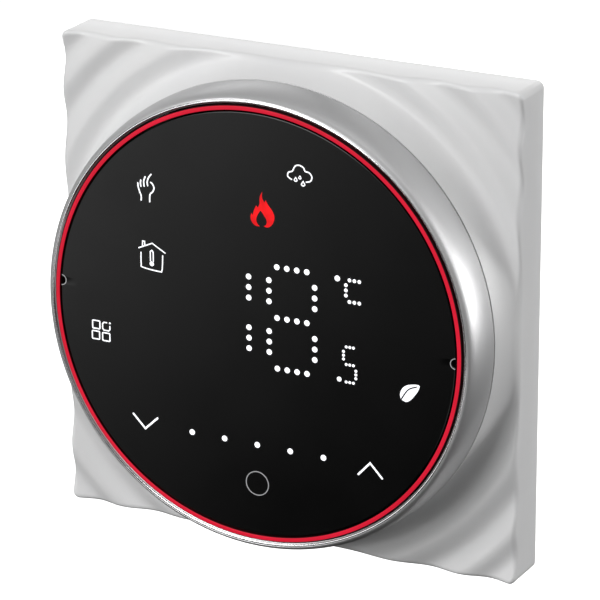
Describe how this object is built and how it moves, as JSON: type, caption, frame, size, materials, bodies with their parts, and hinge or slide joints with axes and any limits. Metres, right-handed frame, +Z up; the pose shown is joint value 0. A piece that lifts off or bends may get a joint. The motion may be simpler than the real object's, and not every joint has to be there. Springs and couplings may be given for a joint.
{
  "type": "wall thermostat",
  "caption": "Wall thermostat: rippled square plate, satin bezel with a red light ring round a black touch disc, power box and terminals behind.",
  "frame": {"origin": "centre of the plate in the wall plane, midway between the two wall screws", "axes": "+Z up, the front faces -Y, +X to the right as seen from the front; the power box goes into the wall towards +Y"},
  "size_m": [0.086, 0.0482, 0.086],
  "materials": {
    "plate_satin": "satin moulded plastic",
    "bezel_silver": "satin silver plated plastic",
    "black_glass": "black-backed hardened glass, polished",
    "red_light": "red light guide",
    "black_plastic": "fine moulded texture",
    "circuit_board": "green solder resist",
    "white_plastic": "fine moulded texture",
    "steel": "zinc plated",
    "brass": "plain brass",
    "copper": "enamelled copper",
    "blue_resin": "blue sleeve and resin",
    "green_plastic": "moulded green plastic",
    "chip_black": "black epoxy"
  },
  "bodies": {
    "wall_side": {"mounting_bracket": "steel", "power_lid": "white_plastic", "power_box": "white_plastic", "power_board": "circuit_board", "supply_module": "chip_black", "capacitor": "blue_resin", "surge_disc": "blue_resin", "fuse": "black_plastic", "terminal_block": "green_plastic", "header_socket": "black_plastic", "bracket_screw_1": "steel", "bracket_screw_2": "steel", "bracket_screw_3": "steel", "bracket_screw_4": "steel", "wall_screw_1": "steel", "wall_screw_2": "steel", "relay_base": "black_plastic", "relay_coil": "copper", "relay_yoke": "steel", "relay_cover": "black_plastic", "fixed_contact": "copper"},
    "front_panel": {"wave_plate": "plate_satin", "bezel_ring": "bezel_silver", "light_ring": "red_light", "glass_disc": "black_glass", "light_baffle": "black_plastic", "digit_display": "white_plastic", "display_board": "circuit_board", "wifi_module": "steel", "control_chip": "chip_black", "buzzer": "black_plastic", "pin_header": "black_plastic", "ntc_sensor": "black_plastic", "rear_cover": "white_plastic", "touch_spring_1": "steel", "touch_spring_2": "steel", "touch_spring_3": "steel", "touch_spring_4": "steel", "touch_spring_5": "steel", "cover_screw_1": "steel", "cover_screw_2": "steel", "cover_screw_3": "steel", "cover_screw_4": "steel", "bezel_screw_1": "steel", "bezel_screw_2": "steel", "bezel_screw_3": "steel"},
    "relay_armature": {"relay_armature": "steel", "contact_spring": "copper"},
    "terminal_screw_1": {"terminal_screw_1": "steel"},
    "wire_clamp_1": {"wire_clamp_1": "brass"},
    "terminal_screw_2": {"terminal_screw_2": "steel"},
    "wire_clamp_2": {"wire_clamp_2": "brass"},
    "terminal_screw_3": {"terminal_screw_3": "steel"},
    "wire_clamp_3": {"wire_clamp_3": "brass"},
    "terminal_screw_4": {"terminal_screw_4": "steel"},
    "wire_clamp_4": {"wire_clamp_4": "brass"},
    "terminal_screw_5": {"terminal_screw_5": "steel"},
    "wire_clamp_5": {"wire_clamp_5": "brass"},
    "terminal_screw_6": {"terminal_screw_6": "steel"},
    "wire_clamp_6": {"wire_clamp_6": "brass"}
  },
  "joints": [
    {"name": "panel_slide", "type": "slide", "parent": "wall_side", "child": "front_panel", "axis": [0, -1, 0], "range_m": [0, 0.03]},
    {"name": "armature_hinge", "type": "hinge", "parent": "wall_side", "child": "relay_armature", "pos_m": [-0.0156, 0.0181, 0.009], "axis": [0, 0, 1], "range_deg": [0, 4], "stiffness_Nm_per_rad": 0.02, "springref_deg": -5.73},
    {"name": "terminal_screw_turn_1", "type": "hinge", "parent": "wall_side", "child": "terminal_screw_1", "pos_m": [-0.0175, 0.0222, -0.018], "axis": [0, -1, 0], "range_deg": [-1085, 5]},
    {"name": "wire_clamp_slide_1", "type": "slide", "parent": "wall_side", "child": "wire_clamp_1", "axis": [0, 1, 0], "range_m": [-0.0015, 0]},
    {"name": "terminal_screw_turn_2", "type": "hinge", "parent": "wall_side", "child": "terminal_screw_2", "pos_m": [-0.0105, 0.0222, -0.018], "axis": [0, -1, 0], "range_deg": [-1085, 5]},
    {"name": "wire_clamp_slide_2", "type": "slide", "parent": "wall_side", "child": "wire_clamp_2", "axis": [0, 1, 0], "range_m": [-0.0015, 0]},
    {"name": "terminal_screw_turn_3", "type": "hinge", "parent": "wall_side", "child": "terminal_screw_3", "pos_m": [-0.0035, 0.0222, -0.018], "axis": [0, -1, 0], "range_deg": [-1085, 5]},
    {"name": "wire_clamp_slide_3", "type": "slide", "parent": "wall_side", "child": "wire_clamp_3", "axis": [0, 1, 0], "range_m": [-0.0015, 0]},
    {"name": "terminal_screw_turn_4", "type": "hinge", "parent": "wall_side", "child": "terminal_screw_4", "pos_m": [0.0035, 0.0222, -0.018], "axis": [0, -1, 0], "range_deg": [-1085, 5]},
    {"name": "wire_clamp_slide_4", "type": "slide", "parent": "wall_side", "child": "wire_clamp_4", "axis": [0, 1, 0], "range_m": [-0.0015, 0]},
    {"name": "terminal_screw_turn_5", "type": "hinge", "parent": "wall_side", "child": "terminal_screw_5", "pos_m": [0.0105, 0.0222, -0.018], "axis": [0, -1, 0], "range_deg": [-1085, 5]},
    {"name": "wire_clamp_slide_5", "type": "slide", "parent": "wall_side", "child": "wire_clamp_5", "axis": [0, 1, 0], "range_m": [-0.0015, 0]},
    {"name": "terminal_screw_turn_6", "type": "hinge", "parent": "wall_side", "child": "terminal_screw_6", "pos_m": [0.0175, 0.0222, -0.018], "axis": [0, -1, 0], "range_deg": [-1085, 5]},
    {"name": "wire_clamp_slide_6", "type": "slide", "parent": "wall_side", "child": "wire_clamp_6", "axis": [0, 1, 0], "range_m": [-0.0015, 0]}
  ],
  "couplings": [
    {"joint": "terminal_screw_turn_1", "follows": "wire_clamp_slide_1", "rad_per_m": 12566},
    {"joint": "terminal_screw_turn_2", "follows": "wire_clamp_slide_2", "rad_per_m": 12566},
    {"joint": "terminal_screw_turn_3", "follows": "wire_clamp_slide_3", "rad_per_m": 12566},
    {"joint": "terminal_screw_turn_4", "follows": "wire_clamp_slide_4", "rad_per_m": 12566},
    {"joint": "terminal_screw_turn_5", "follows": "wire_clamp_slide_5", "rad_per_m": 12566},
    {"joint": "terminal_screw_turn_6", "follows": "wire_clamp_slide_6", "rad_per_m": 12566}
  ]
}
